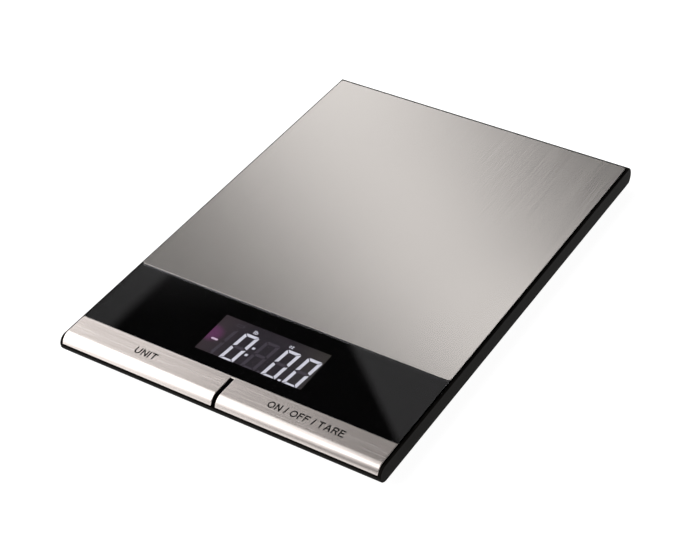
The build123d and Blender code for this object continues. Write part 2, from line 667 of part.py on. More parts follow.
def board_screws():
    """Four screws that hold the board on its posts."""
    return joined(
        headed_screw(x, y, BOARD_SCREW_R - THREAD_GAP, BOARD_SCREW_HEAD_R, BOARD_TOP,
                     BOARD_TOP + BOARD_SCREW_HEAD, BOARD_SCREW_END)
        for x, y in BOARD_SCREWS
    )


def controller_blob():
    """The drop of black resin over the controller chip."""
    drop = post(0, BLOB_Y, BLOB_R, BOARD_TOP, BOARD_TOP + BLOB_TALL)
    return fillet(drop.faces().sort_by(Axis.Z)[-1].edges(), BLOB_EDGE_R)


def board_chips():
    """Resistors and capacitors in rows each side of the controller."""
    chips = []
    for side in (-1, 1):
        for row in CHIP_ROWS:
            for column in range(CHIP_COLUMNS):
                x = side * (CHIP_START_X + column * CHIP_PITCH)
                chips.append(slab(x - CHIP_LENGTH / 2, x + CHIP_LENGTH / 2, row - CHIP_WIDTH / 2,
                                  row + CHIP_WIDTH / 2, BOARD_TOP, BOARD_TOP + CHIP_TALL))
    return joined(chips)


def tact_switch(x):
    """A square push switch body with a round well for its plunger."""
    half = SWITCH_SIDE / 2
    top = BOARD_TOP + SWITCH_TALL
    shape = slab(x - half, x + half, SWITCH_Y - half, SWITCH_Y + half, BOARD_TOP, top)
    shape = fillet(shape.edges().filter_by(Axis.Z), SWITCH_EDGE_R)
    return shape - post(x, SWITCH_Y, PLUNGER_BORE_R, PLUNGER_BORE_LOW, top)


def switch_plunger(x):
    """The plunger that a key's post presses."""
    shape = post(x, SWITCH_Y, PLUNGER_R, PLUNGER_LOW, PLUNGER_TOP)
    return chamfer(shape.faces().sort_by(Axis.Z)[-1].edges(), SWITCH_EDGE_R)


# ---------------------------------------------------------------- keys
def key_profile(inset, back, low):
    """Half a key's section: flat on top, then a quarter round down to low, set in by inset."""
    radius = KEY_R - inset
    top = HEIGHT - inset
    run = (radius**2 - (low - KEY_ARC_Z) ** 2) ** 0.5
    bow = radius * 0.5**0.5
    return (back, top), (KEY_ARC_Y, top), (KEY_ARC_Y - bow, KEY_ARC_Z + bow), (KEY_ARC_Y - run, low)


def key_skin(outer, inner, back, low, x0, x1):
    """A bent sheet between two insets of the key's section."""
    a, b, c, d = key_profile(outer, back, low)
    e, f, g, h = key_profile(inner, back, low)
    outside = Line(a, b) + ThreePointArc(b, c, d) + Line(d, h)
    inside = ThreePointArc(h, g, f) + Line(f, e) + Line(e, a)
    return across(outside + inside, x0, x1)


def key_facing(x0, x1, bridge=False):
    """The bent steel facing of a key, with softened outer edges and, if asked, the bridge."""
    shape = key_skin(0, FACING, KEY_BACK, KEY_LOW, x0, x1)
    if bridge:
        shape += slab(KEY_BRIDGE_GAP - KEY_START, x0, KEY_BACK - KEY_BRIDGE, KEY_BACK, CARRIER_TOP, HEIGHT)
    outer = [e for e in shape.edges() if e.center().Z > CARRIER_TOP + FACING * 0.9 or is_outer_arc(e)]
    return fillet(outer, FACING_EDGE_R)


def is_outer_arc(edge):
    """True for the long front bend's outer edges at a facing's two ends."""
    return edge.geom_type == GeomType.CIRCLE and abs(edge.radius - KEY_R) < FACING / 2


def key_web(x0, x1):
    """A wall that fills a key's section between its flat top and its bend, down to the web's lower edge."""
    low = CARRIER_WEB_LOW
    a, b, c, d = key_profile(FACING, KEY_BACK - CARRIER_BACK_INSET, low)
    outline = Line(a, b) + ThreePointArc(b, c, d) + Line(d, (a[0], low)) + Line((a[0], low), a)
    return across(outline, x0, x1)


def key_carrier(side):
    """A key's plastic body: the shell behind the facing, its webs, hinge lugs with pins, and switch post."""
    x0, x1 = sorted((side * KEY_START, side * KEY_END))
    back = KEY_BACK - CARRIER_BACK_INSET
    shape = key_skin(FACING, FACING + CARRIER, back, KEY_LOW, x0, x1)
    step = (x1 - x0 - CARRIER_WEB) / (CARRIER_RIBS + 1)
    for i in range(CARRIER_RIBS + 2):
        web = key_web(x0 + i * step, x0 + i * step + CARRIER_WEB)
        if 0 < i < CARRIER_RIBS + 1:
            notch_front = PIVOT_Y - EAR_R - PAST
            web -= slab(x0, x1, notch_front, KEY_BACK + PAST, CARRIER_WEB_LOW - PAST, CARRIER_UNDER)
        shape += web
    for x in EAR_X:
        away = 1 if x == EAR_X[0] else -1  # the lug stands on the side of the ear nearer the key's middle
        near = x + away * (EAR_THICK / 2 + LUG_GAP)
        far = near + away * LUG_THICK
        a, b = sorted((side * near, side * far))
        shape += slab(a, b, PIVOT_Y - EAR_R, LUG_BACK_Y, PIVOT_Z, CARRIER_TOP)
        shape += rod(PIVOT_Y, PIVOT_Z, PIVOT_PIN_R, side * (x - away * EAR_THICK / 2), side * far)
        shape += rod(PIVOT_Y, PIVOT_Z, LUG_HUB_R, a, b)
    shape += post(side * SWITCH_X, SWITCH_Y, POST_R, PLUNGER_TOP + POST_GAP, CARRIER_TOP)
    return shape


# ---------------------------------------------------------------- battery bay
def battery_door():
    """The hatch in the floor: panel, hinge barrel with end pins, closing tongue and a thumb scoop."""
    panel_front = DOOR_PIVOT_Y + DOOR_BARREL_R
    top = FOOT_STAND + DOOR_THICK
    shape = slab(-DOOR_HALF, DOOR_HALF, panel_front, DOOR_BACK, FOOT_STAND, top)
    shape += rod(DOOR_PIVOT_Y, DOOR_PIVOT_Z, DOOR_BARREL_R, -DOOR_BARREL_HALF, DOOR_BARREL_HALF)
    neck_back = panel_front + DOOR_NECK
    shape += slab(-DOOR_BARREL_HALF, DOOR_BARREL_HALF, DOOR_PIVOT_Y, neck_back, DOOR_NECK_LOW, top)
    shape += rod(DOOR_PIVOT_Y, DOOR_PIVOT_Z, DOOR_PIN_R, -DOOR_PIN_END, DOOR_PIN_END)
    tongue_front = DOOR_TONGUE_BACK - DOOR_TONGUE
    shape += slab(-DOOR_TONGUE_HALF, DOOR_TONGUE_HALF, tongue_front, DOOR_TONGUE_BACK, DOOR_TONGUE_LOW,
                  DOOR_TONGUE_TOP)
    return shape - post(0, DOOR_BACK, DOOR_SCOOP_R, FOOT_STAND - OVER, FOOT_STAND + DOOR_SCOOP_DEEP)


def coin_cells():
    """Two coin cells side by side, their wide cans facing the hatch."""
    cans = []
    cap_low = COIN_LOW + COIN_TALL - COIN_CAP
    for x in (-COIN_X, COIN_X):
        can = post(x, COIN_Y, COIN_R, COIN_LOW, cap_low)
        can = fillet(can.faces().sort_by(Axis.Z)[0].edges(), COIN_EDGE_R)
        cans.append(can + post(x, COIN_Y, COIN_CAP_R, cap_low, COIN_LOW + COIN_TALL))
    return joined(cans)


def contact_negative():
    """The leaf under the bay's roof that presses on both cells' caps."""
    cap_top = COIN_LOW + COIN_TALL
    shape = slab(-LEAF_HALF, LEAF_HALF, COIN_Y - LEAF_WIDTH / 2, COIN_Y + LEAF_WIDTH / 2,
                 BAY_TOP - LEAF, BAY_TOP)
    for x in (-COIN_X, COIN_X):
        shape += post(x, COIN_Y, LEAF_DIMPLE_R, cap_top, BAY_TOP)
    return shape


def contact_positive():
    """The strip along the bay's front wall that touches both cells' cans."""
    strip_back = BAY_FRONT + LEAF
    shape = slab(-CLIP_HALF, CLIP_HALF, BAY_FRONT, strip_back, CLIP_LOW, CLIP_TOP)
    reach = COIN_Y - COIN_R - CLIP_TOUCH
    middle = (CLIP_LOW + COIN_LOW + COIN_TALL - COIN_CAP) / 2
    for x in (-COIN_X, COIN_X):
        bump = Cylinder(CLIP_DIMPLE_R, reach - strip_back)
        shape += Pos(x, (strip_back + reach) / 2, middle) * Rot(90, 0, 0) * bump
    return shape


# ---------------------------------------------------------------- feet, label and wires
def rubber_foot(x, y):
    """A round rubber foot, glued into its recess."""
    shape = post(x, y, FOOT_R, 0, FOOT_STAND + FOOT_RECESS)
    return fillet(shape.faces().sort_by(Axis.Z)[0].edges(), FOOT_EDGE_R)


def rating_label():
    """The blank label in the floor's shallow recess."""
    half_l, half_w = LABEL_LENGTH / 2, LABEL_WIDTH / 2
    return slab(-half_l, half_l, LABEL_Y - half_w, LABEL_Y + half_w, FOOT_STAND, FOOT_STAND + LABEL_THICK)


def battery_wires():
    """The two supply wires, from the bay's front wall along the floor and up to the board's rear edge."""
    start = BAY_FRONT - BAY_WALL
    return joined(
        wire([(x, start, WIRE_Z), (x, WIRE_RISE_START, WIRE_Z), (x, WIRE_RISE_END, WIRE_PAD_Z),
              (x, WIRE_END, WIRE_PAD_Z)], BATTERY_WIRE_R)
        for x in BATTERY_WIRE_X
    )


def cell_wires():
    """The load cell's four thin wires, from its side along the floor to the board's rear edge."""
    runs = []
    for i in range(CELL_WIRE_COUNT):
        x = CELL_WIRE_X + i * CELL_WIRE_PITCH
        y = CELL_MID_Y + CELL_WIRE_START + i * CELL_WIRE_PITCH
        runs.append(wire([(CELL_HALF, y, WIRE_Z), (x, y, WIRE_Z), (x, WIRE_RISE_START, WIRE_Z),
                          (x, WIRE_RISE_END, WIRE_PAD_Z), (x, WIRE_END, WIRE_PAD_Z)], CELL_WIRE_R))
    return joined(runs)


# ---------------------------------------------------------------- all parts
PARTS = {
    "base_shell": base_shell,
    "front_deck": front_deck,
    "deck_screws": deck_screws,
    "display_window": display_window,
    "window_mask": window_mask,
    "lcd_cell": lcd_cell,
    "lcd_holder": lcd_holder,
    "light_guide": light_guide,
    "backlight_leds": backlight_leds,
    "zebra_strip": zebra_strip,
    "main_board": main_board,
    "board_screws": board_screws,
    "controller_blob": controller_blob,
    "board_chips": board_chips,
    "unit_switch": lambda: tact_switch(-SWITCH_X),
    "power_switch": lambda: tact_switch(SWITCH_X),
    "unit_plunger": lambda: switch_plunger(-SWITCH_X),
    "power_plunger": lambda: switch_plunger(SWITCH_X),
    "unit_key_facing": lambda: key_facing(-KEY_END, -KEY_START),
    "power_key_facing": lambda: key_facing(KEY_START, KEY_END, bridge=True),
    "unit_key_carrier": lambda: key_carrier(-1),
    "power_key_carrier": lambda: key_carrier(1),
    "platform_plate": platform_plate,
    "platform_tray": platform_tray,
    "load_cell": load_cell,
    "gauge_potting": gauge_potting,
    "cell_screws_lower": cell_screws_lower,
    "cell_screws_upper": cell_screws_upper,
    "battery_door": battery_door,
    "coin_cells": coin_cells,
    "contact_negative": contact_negative,
    "contact_positive": contact_positive,
    "battery_wires": battery_wires,
    "cell_wires": cell_wires,
    "rating_label": rating_label,
}


def main():
    os.makedirs("parts", exist_ok=True)
    for name, make in PARTS.items():
        export_step(make(), f"parts/{name}.step")
    for name, (x, y) in FOOT_SPOTS.items():
        export_step(rubber_foot(x, y), f"parts/{name}.step")


main()
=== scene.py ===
"""Looks for the kitchen scale: finishes on CAD nodes, the display's segments, lettering and the studio.

Everything is in metres, in the CAD frame: X right, Y back, Z up, with the keys and display at the front (-Y).
"""

import math

import bmesh
import bpy
from mathutils import Matrix, Vector


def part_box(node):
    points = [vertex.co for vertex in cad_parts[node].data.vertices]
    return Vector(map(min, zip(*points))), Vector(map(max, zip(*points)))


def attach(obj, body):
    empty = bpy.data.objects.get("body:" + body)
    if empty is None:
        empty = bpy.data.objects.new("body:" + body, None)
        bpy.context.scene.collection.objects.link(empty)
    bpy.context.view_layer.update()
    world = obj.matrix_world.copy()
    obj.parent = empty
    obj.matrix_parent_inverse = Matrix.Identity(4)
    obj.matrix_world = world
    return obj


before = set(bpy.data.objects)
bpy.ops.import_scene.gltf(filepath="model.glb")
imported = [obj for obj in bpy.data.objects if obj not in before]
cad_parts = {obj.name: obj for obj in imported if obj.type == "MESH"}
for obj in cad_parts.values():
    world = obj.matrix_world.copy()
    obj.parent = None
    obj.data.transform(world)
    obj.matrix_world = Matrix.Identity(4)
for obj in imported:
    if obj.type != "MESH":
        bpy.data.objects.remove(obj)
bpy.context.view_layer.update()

MM = 0.001


# ---------------------------------------------------------------- node trees
class Nodes:
    """Short ways to add and link the nodes of one tree."""

    def __init__(self, tree):
        self.tree = tree

    def link(self, source, target):
        self.tree.links.new(source, target)

    def node(self, kind, **settings):
        made = self.tree.nodes.new("ShaderNode" + kind)
        for key, value in settings.items():
            setattr(made, key, value)
        return made

    def math(self, operation, *values):
        made = self.node("Math", operation=operation)
        for socket, value in zip(made.inputs, values):
            if isinstance(value, (int, float)):
                socket.default_value = value
            else:
                self.link(value, socket)
        return made.outputs["Value"]

    def apart(self, place):
        made = self.node("SeparateXYZ")
        self.link(place, made.inputs["Vector"])
        return made.outputs


class Finish(Nodes):
    """One node material: a principled shader and the noises, ranges and blends that feed it."""

    def __init__(self, name, color, **sockets):
        self.material = bpy.data.materials.new(name)
        self.material.use_nodes = True
        super().__init__(self.material.node_tree)
        self.tree.nodes.clear()
        self.shader = self.node("BsdfPrincipled")
        output = self.node("OutputMaterial")
        self.link(self.shader.outputs["BSDF"], output.inputs["Surface"])
        self.shader.inputs["Base Color"].default_value = (*color, 1)
        for socket, value in sockets.items():
            self.shader.inputs[socket.replace("_", " ").title().replace("Ior", "IOR")].default_value = value

    def place(self, stretch=(1, 1, 1), shift=(0, 0, 0), turn=0):
        """Object coordinates, which are the shared frame's, stretched, turned about Z and shifted."""
        mapping = self.node("Mapping")
        mapping.inputs["Scale"].default_value = stretch
        mapping.inputs["Location"].default_value = shift
        mapping.inputs["Rotation"].default_value = (0, 0, turn)
        self.link(self.node("TexCoord").outputs["Object"], mapping.inputs["Vector"])
        return mapping.outputs["Vector"]

    def noise(self, place, scale, detail=3, rough=0.5, distortion=0):
        made = self.node("TexNoise")
        self.link(place, made.inputs["Vector"])
        made.inputs["Scale"].default_value = scale
        made.inputs["Detail"].default_value = detail
        made.inputs["Roughness"].default_value = rough
        made.inputs["Distortion"].default_value = distortion
        return made.outputs["Fac"]

    def spread(self, value, low, high, start=0.3, end=0.7, smooth=False):
        """Maps value's start to end onto low to high."""
        made = self.node("MapRange", interpolation_type="SMOOTHSTEP" if smooth else "LINEAR")
        self.link(value, made.inputs["Value"])
        for socket, number in zip(("From Min", "From Max", "To Min", "To Max"), (start, end, low, high)):
            made.inputs[socket].default_value = number
        return made.outputs["Result"]

    def blend(self, amount, first, second):
        """Mixes two colours, each a tuple or a node's output, by amount."""
        made = self.node("Mix", data_type="RGBA")
        self.link(amount, made.inputs[0])
        for socket, value in ((made.inputs[6], first), (made.inputs[7], second)):
            if isinstance(value, tuple):
                socket.default_value = (*value, 1)
            else:
                self.link(value, socket)
        return made.outputs[2]

    def mottle(self, amount, color, down, up):
        """Feeds the base colour, from color times down to color times up as amount passes its middle."""
        dark = tuple(channel * down for channel in color)
        light = tuple(min(channel * up, 1.0) for channel in color)
        self.feed("Base Color", self.blend(self.spread(amount, 0, 1), dark, light))

    def bump(self, height, depth):
        made = self.node("Bump")
        made.inputs["Strength"].default_value = 1.0
        made.inputs["Distance"].default_value = depth
        self.link(height, made.inputs["Height"])
        self.link(made.outputs["Normal"], self.shader.inputs["Normal"])

    def glow(self, color, strength):
        """Gives off light, in a colour that a node works out."""
        self.feed("Emission Color", color)
        self.shader.inputs["Emission Strength"].default_value = strength

    def feed(self, socket, value):
        self.link(value, self.shader.inputs[socket])


# ---------------------------------------------------------------- node materials
def brushed_steel(name, color, along, roughness, contrast, depth):
    """Stainless steel brushed along X or Y: long fine streaks in colour, gloss and height."""
    finish = Finish(name, color, metallic=1.0, anisotropic=0.8)

    def lengthwise(long, cross):
        return (long, cross, cross) if along == "X" else (cross, long, cross)

    fine = finish.noise(finish.place(lengthwise(90.0, 5200.0)), 1.0, detail=4, rough=0.7)
    broad = finish.noise(finish.place(lengthwise(25.0, 1300.0), (3, 1, 2)), 1.0, detail=2)
    cloud = finish.noise(finish.place(shift=(1, 2, 3)), 12.0, detail=1)
    streaks = finish.math("ADD", finish.math("MULTIPLY", fine, 0.4), finish.math("MULTIPLY", broad, 0.6))
    tone = finish.math("ADD", finish.math("MULTIPLY", streaks, 0.8), finish.math("MULTIPLY", cloud, 0.2))
    finish.mottle(tone, color, 1 - contrast, 1 + contrast)
    finish.feed("Roughness", finish.spread(streaks, roughness - 0.02, roughness + 0.02))
    across = finish.node("CombineXYZ")  # the brushing spreads highlights across itself
    across.inputs["Y" if along == "X" else "X"].default_value = 1.0
    finish.feed("Tangent", across.outputs["Vector"])
    finish.bump(streaks, depth)
    return finish.material


def moulded_plastic(name, color, grain=1700.0, roughness=(0.42, 0.56), depth=0.012 * MM, specular=0.3):
    """Spark-eroded moulded plastic: a fine even pebble, slightly cloudy in colour."""
    finish = Finish(name, color, specular_ior_level=specular)
    pebble = finish.noise(finish.place(), grain, detail=4, rough=0.6)
    cloud = finish.noise(finish.place(shift=(5, 2, 1)), 60.0, detail=2)
    finish.mottle(cloud, color, 0.8, 1.2)
    finish.feed("Roughness", finish.spread(pebble, *roughness))
    finish.bump(pebble, depth)
    return finish.material


def metal(name, color):
    """Plated or machined metal with a fine random tooth."""
    finish = Finish(name, color, metallic=1.0)
    tooth = finish.noise(finish.place(), 2500.0)
    stain = finish.noise(finish.place(shift=(1, 4, 2)), 220.0)
    finish.mottle(stain, color, 0.82, 1.0)
    finish.feed("Roughness", finish.spread(tooth, 0.25, 0.4))
    finish.bump(tooth, 0.004 * MM)
    return finish.material


def window_pane(name):
    """Polished smoke-tinted acrylic, with faint wipe marks in its gloss."""
    finish = Finish(name, (0.5, 0.49, 0.52), transmission_weight=1.0, ior=1.49)
    wipes = finish.noise(finish.place((40, 14, 14), turn=0.5), 1.0, detail=4, distortion=0.6)
    dust = finish.noise(finish.place(), 900.0, detail=2)
    haze = finish.math("ADD", finish.math("MULTIPLY", wipes, 0.7), finish.math("MULTIPLY", dust, 0.3))
    finish.feed("Roughness", finish.spread(haze, 0.002, 0.02))
    return finish.material


def display_glass(name, middle, half):
    """The negative display: dark, smoky and faintly lit, with the lamps' violet glow at its left end."""
    smoke_dark, smoke_light = (0.027, 0.023, 0.028), (0.046, 0.038, 0.045)
    olive, mauve, violet = (0.062, 0.058, 0.048), (0.062, 0.047, 0.052), (0.20, 0.058, 0.165)
    finish = Finish(name, (0.012, 0.012, 0.013), roughness=0.35, specular_ior_level=0.3)
    across = finish.apart(finish.place(shift=(-middle.x, -middle.y, 0)))
    x = finish.math("DIVIDE", across["X"], half.x)  # from -1 to 1 over the display, and so is y
    y = finish.math("DIVIDE", across["Y"], half.y)
    cloud = finish.noise(finish.place(), 300.0, detail=4, rough=0.7)
    color = finish.blend(finish.spread(cloud, 0, 1), smoke_dark, smoke_light)
    right = finish.spread(finish.math("ADD", x, finish.math("MULTIPLY", y, 0.15)), 0, 1, 0.35, 1.1)
    color = finish.blend(right, color, olive)
    left = finish.spread(x, 1, 0, -0.95, -0.3, smooth=True)
    color = finish.blend(left, color, mauve)
    away_x = finish.math("MULTIPLY", finish.math("ADD", x, 0.88), 4.2)  # from the glow's middle, in its radii
    away_y = finish.math("MULTIPLY", finish.math("ADD", y, 0.02), 2.4)
    squared = finish.math("ADD", finish.math("POWER", away_x, 2.0), finish.math("POWER", away_y, 2.0))
    near = finish.spread(squared, 0.8, 0, 0.0, 1.0, smooth=True)
    finish.glow(finish.blend(near, color, violet), 1.3)
    return finish.material


def segment(name, color, strength):
    """A display segment's light, a little uneven."""
    finish = Finish(name, (0.02, 0.02, 0.02), roughness=0.4)
    cells = finish.noise(finish.place(), 500.0, detail=2)
    dim = tuple(channel * 0.86 for channel in color)
    finish.glow(finish.blend(finish.spread(cells, 0, 1), dim, color), strength)
    return finish.material


def circuit_board(name):
    """Green solder mask with lighter tracks running both ways under it."""
    finish = Finish(name, (0.02, 0.12, 0.05), roughness=0.35)
    tracks = finish.node("TexBrick", offset=0.35)
    finish.link(finish.place(), tracks.inputs["Vector"])
    tracks.inputs["Scale"].default_value = 130.0
    tracks.inputs["Mortar Size"].default_value = 0.03
    tracks.inputs["Color1"].default_value = (0.015, 0.10, 0.04, 1)
    tracks.inputs["Color2"].default_value = (0.018, 0.13, 0.05, 1)
    tracks.inputs["Mortar"].default_value = (0.06, 0.30, 0.12, 1)
    finish.feed("Base Color", tracks.outputs["Color"])
    finish.bump(tracks.outputs["Fac"], 0.02 * MM)
    return finish.material


def striped_rubber(name):
    """Alternate dark and pink layers of the display's connector, stacked along X."""
    finish = Finish(name, (0.3, 0.15, 0.2), roughness=0.6)
    stripes = finish.node("TexWave", wave_type="BANDS", bands_direction="X")
    finish.link(finish.place(), stripes.inputs["Vector"])
    stripes.inputs["Scale"].default_value = 900.0
    finish.feed("Base Color", finish.blend(stripes.outputs["Fac"], (0.04, 0.03, 0.03), (0.45, 0.22, 0.28)))
    return finish.material


def coin_can(name):
    """Satin nickel can with fine scuffs."""
    finish = Finish(name, (0.62, 0.62, 0.6), metallic=1.0, anisotropic=0.4)
    scuffs = finish.noise(finish.place((400, 2500, 400)), 1.0)
    finish.feed("Roughness", finish.spread(scuffs, 0.2, 0.36))
    tone = finish.blend(finish.spread(scuffs, 0, 1), (0.52, 0.52, 0.5), (0.68, 0.68, 0.66))
    finish.feed("Base Color", tone)
    finish.bump(scuffs, 0.004 * MM)
    return finish.material


def printed_label(name, middle, half):
    """A blank silver label with a thin printed frame and faint fibres."""
    finish = Finish(name, (0.6, 0.6, 0.6), roughness=0.45)
    across = finish.apart(finish.place(shift=(-middle.x, -middle.y, 0)))
    x = finish.math("DIVIDE", finish.math("ABSOLUTE", across["X"]), half.x)
    y = finish.math("DIVIDE", finish.math("ABSOLUTE", across["Y"]), half.y)
    inside = finish.math("MULTIPLY", finish.math("LESS_THAN", x, 0.94), finish.math("LESS_THAN", y, 0.88))
    deeper = finish.math("MULTIPLY", finish.math("LESS_THAN", x, 0.925), finish.math("LESS_THAN", y, 0.85))
    line = finish.math("SUBTRACT", inside, deeper)
    fibres = finish.noise(finish.place((900, 300, 300)), 1.0)
    paper = finish.blend(finish.spread(fibres, 0, 1), (0.50, 0.50, 0.50), (0.62, 0.62, 0.61))
    finish.feed("Base Color", finish.blend(line, paper, (0.03, 0.03, 0.03)))
    return finish.material


def printing_ink(name):
    """Screen-printed black ink, a little uneven."""
    finish = Finish(name, (0.005, 0.005, 0.005), specular_ior_level=0.04)
    patches = finish.noise(finish.place(), 1400.0)
    tone = finish.blend(finish.spread(patches, 0, 1), (0.002, 0.002, 0.002), (0.006, 0.006, 0.005))
    finish.feed("Base Color", tone)
    finish.feed("Roughness", finish.spread(patches, 0.5, 0.7))
    return finish.material


def finish_nodes(material, *names):
    """Gives CAD nodes one material over all of each."""
    for name in names:
        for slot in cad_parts[name].material_slots:
            slot.material = material


# ---------------------------------------------------------------- pieces
def mesh_piece(name, body, slot, material, vertices, faces):
    """A new mesh object that rides on a body."""
    mesh = bpy.data.meshes.new(name)
    mesh.from_pydata(vertices, [], faces)
    made = bmesh.new()
    made.from_mesh(mesh)
    bmesh.ops.recalc_face_normals(made, faces=made.faces)
    made.to_mesh(mesh)
    made.free()
    mesh.materials.append(material)
    piece = bpy.data.objects.new(name, mesh)
    bpy.context.scene.collection.objects.link(piece)
    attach(piece, body)


def plates(outlines, low, thick):
    """Vertices and faces of flat prisms standing on low, one for each closed outline of (x, y) points."""
    vertices, faces = [], []
    for outline in outlines:
        start, count = len(vertices), len(outline)
        vertices += [(x, y, low) for x, y in outline] + [(x, y, low + thick) for x, y in outline]
        faces.append(tuple(range(start, start + count)))
        faces.append(tuple(range(start + count, start + 2 * count)))
        for i in range(count):
            j = (i + 1) % count
            faces.append((start + i, start + j, start + count + j, start + count + i))
    return vertices, faces


# ---------------------------------------------------------------- display content
# Places are from the display's middle, apart from those of the dots, which are from a digit's middle.
DIGIT_WIDE = 5.65 * MM  # between the middles of the left and right segments
DIGIT_TALL = 17.15 * MM  # between the middles of the top and bottom segments
DIGIT_SLANT = 0.097  # sideways lean for each unit of height
DIGIT_RISE = -2.9 * MM  # the digits' middle segments
LIT_DIGITS = (-10.2 * MM, 11.0 * MM, 21.5 * MM)
UNLIT_DIGIT = 0.55 * MM
UNLIT_ONE = -20.9 * MM  # where a fifth digit's left segments would stand
SEGMENT = 1.55 * MM
SEGMENT_GAP = 0.28 * MM
SEGMENT_CUT = 0.45 * MM  # taken off the outer corners
DOT = 1.25 * MM
COLON_RISES = (2.65 * MM, -2.2 * MM)  # above and below the digits' middle segments
POINT_RIGHT = 5.4 * MM
POINT_LIFT = 0.25 * MM  # above the middle of a digit's bottom segment
SIGN_LEFT = -24.7 * MM
SIGN_RIGHT = -20.5 * MM
SIGN_RISE = -3.2 * MM
SIGN_THICK = 1.05 * MM
ICON_LEFT = -19.2 * MM
ICON_RISE = 8.9 * MM
ICON_LONG = 3.4 * MM
ICON_TALL = 1.6 * MM
ICON_LINE = 0.25 * MM
ICON_NUB_LONG = 0.4 * MM
ICON_NUB_TALL = 0.6 * MM
UNITS = (("display_lb", "lb", -9.2 * MM), ("display_oz", "oz", 9.0 * MM))
UNIT_RISE = 7.5 * MM
UNIT_LONG = 2.1 * MM
UNIT_TALL = 2.2 * MM
INK_LIFT = 0.02 * MM
INK_THICK = 0.03 * MM
RIM = "top upper_left upper_right lower_left lower_right bottom".split()


def outer_segment(start, end, outward, turns):
    """An outer segment's outline: mitred at both ends, and cut at each end where the digit turns a corner."""
    a, b, outward = Vector(start), Vector(end), Vector(outward)
    along = (b - a).normalized()
    side = outward * SEGMENT / 2
    points = []
    for place, turn, way in ((a, turns[0], -along), (b, turns[1], along)):
        inner = place - way * (SEGMENT / 2 + SEGMENT_GAP) - side
        if turn:
            tip = place + way * (SEGMENT / 2 - SEGMENT_GAP) + side
            half = [inner, tip - (way + outward) * SEGMENT_CUT / 2, tip - way * SEGMENT_CUT]
        else:
            half = [inner, place - way * SEGMENT_GAP + side]
        points += half if way == -along else half[::-1]
    return [tuple(p) for p in points]


def bar(start, end, width):
    """A bar's outline with pointed ends, shortened by the gap between segments."""
    a, b = Vector(start), Vector(end)
    along = (b - a).normalized()
    side = Vector((-along.y, along.x)) * width / 2
    a, b = a + along * SEGMENT_GAP, b - along * SEGMENT_GAP
    c, d = a + along * width / 2, b - along * width / 2
    return [tuple(p) for p in (a, c - side, d - side, b, d + side, c + side)]


def lean(outline, middle_x, middle_y):
    return [(middle_x + x + y * DIGIT_SLANT, middle_y + y) for x, y in outline]


def digit(names, x, y):
    """The outlines of a digit's named segments, about its middle."""
    w, h = DIGIT_WIDE / 2, DIGIT_TALL / 2
    outlines = {
        "top": outer_segment((-w, h), (w, h), (0, 1), (True, True)),
        "bottom": outer_segment((-w, -h), (w, -h), (0, -1), (True, True)),
        "upper_left": outer_segment((-w, 0), (-w, h), (-1, 0), (False, True)),
        "upper_right": outer_segment((w, 0), (w, h), (1, 0), (False, True)),
        "lower_left": outer_segment((-w, -h), (-w, 0), (-1, 0), (True, False)),
        "lower_right": outer_segment((w, -h), (w, 0), (1, 0), (True, False)),
        "middle": bar((-w, 0), (w, 0), SEGMENT),
    }
    return [lean(outlines[name], x, y) for name in names]


def block(x0, x1, y0, y1):
    return [(x0, y0), (x1, y0), (x1, y1), (x0, y1)]


def dot(rise, sideways=0.0):
    return block(sideways - DOT / 2, sideways + DOT / 2, rise - DOT / 2, rise + DOT / 2)


def battery_icon(x0, y):
    """A battery's outline, lying down: four bars, and the nub at its right end."""
    x1, high, inside = x0 + ICON_LONG, ICON_TALL / 2, ICON_TALL / 2 - ICON_LINE
    return [block(x0, x1, y + inside, y + high),
            block(x0, x1, y - high, y - inside),
            block(x0, x0 + ICON_LINE, y - inside, y + inside),
            block(x1 - ICON_LINE, x1, y - inside, y + inside),
            block(x1, x1 + ICON_NUB_LONG, y - ICON_NUB_TALL / 2, y + ICON_NUB_TALL / 2)]


def display_segments():
    """The lit and the unlit segments, dots and icons on top of the display cell."""
    low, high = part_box("lcd_cell")
    middle_x, middle_y = (low.x + high.x) / 2, (low.y + high.y) / 2
    y, top = middle_y + DIGIT_RISE, high.z + INK_LIFT
    first, second, third = [middle_x + x for x in LIT_DIGITS]
    unlit = middle_x + UNLIT_DIGIT
    point = dot(POINT_LIFT - DIGIT_TALL / 2, POINT_RIGHT)
    lit = [lean(dot(rise), (first + unlit) / 2, y) for rise in COLON_RISES] + [lean(point, second, y)]
    ghost = digit(RIM + ["middle"], unlit, y) + [lean(point, unlit, y)]
    ghost += digit(["upper_right", "lower_right"], middle_x + UNLIT_ONE, y)
    for x in (first, second, third):
        lit += digit(RIM, x, y)
        ghost += digit(["middle"], x, y)
    ghost += battery_icon(middle_x + ICON_LEFT, middle_y + ICON_RISE)
    sign_y = middle_y + SIGN_RISE
    minus = [bar((middle_x + SIGN_LEFT, sign_y), (middle_x + SIGN_RIGHT, sign_y), SIGN_THICK)]
    violet = segment("segment_violet", (0.90, 0.70, 0.86), 1.6)
    white = segment("segment_white", (0.84, 0.86, 0.92), 1.75)
    grey = segment("segment_unlit", (0.083, 0.073, 0.090), 1.3)
    mesh_piece("display_lit", "base", "lcd_glass", white, *plates(lit, top, INK_THICK))
    mesh_piece("display_sign", "base", "lcd_glass", violet, *plates(minus, top, INK_THICK))
    mesh_piece("display_unlit", "base", "lcd_glass", grey, *plates(ghost, top, INK_THICK))
    for name, words, x in UNITS:
        place = (middle_x + x, middle_y + UNIT_RISE, top)
        lettering(name, words, place, UNIT_LONG, UNIT_TALL, white, "base", "lcd_glass")


# ---------------------------------------------------------------- lettering
STROKE = 0.168  # a letter's line width; these sizes are shares of a capital's height
LETTER_GAP = 0.16
SPACE = 0.33
SMALL = 0.72  # height of the small letters' bowls


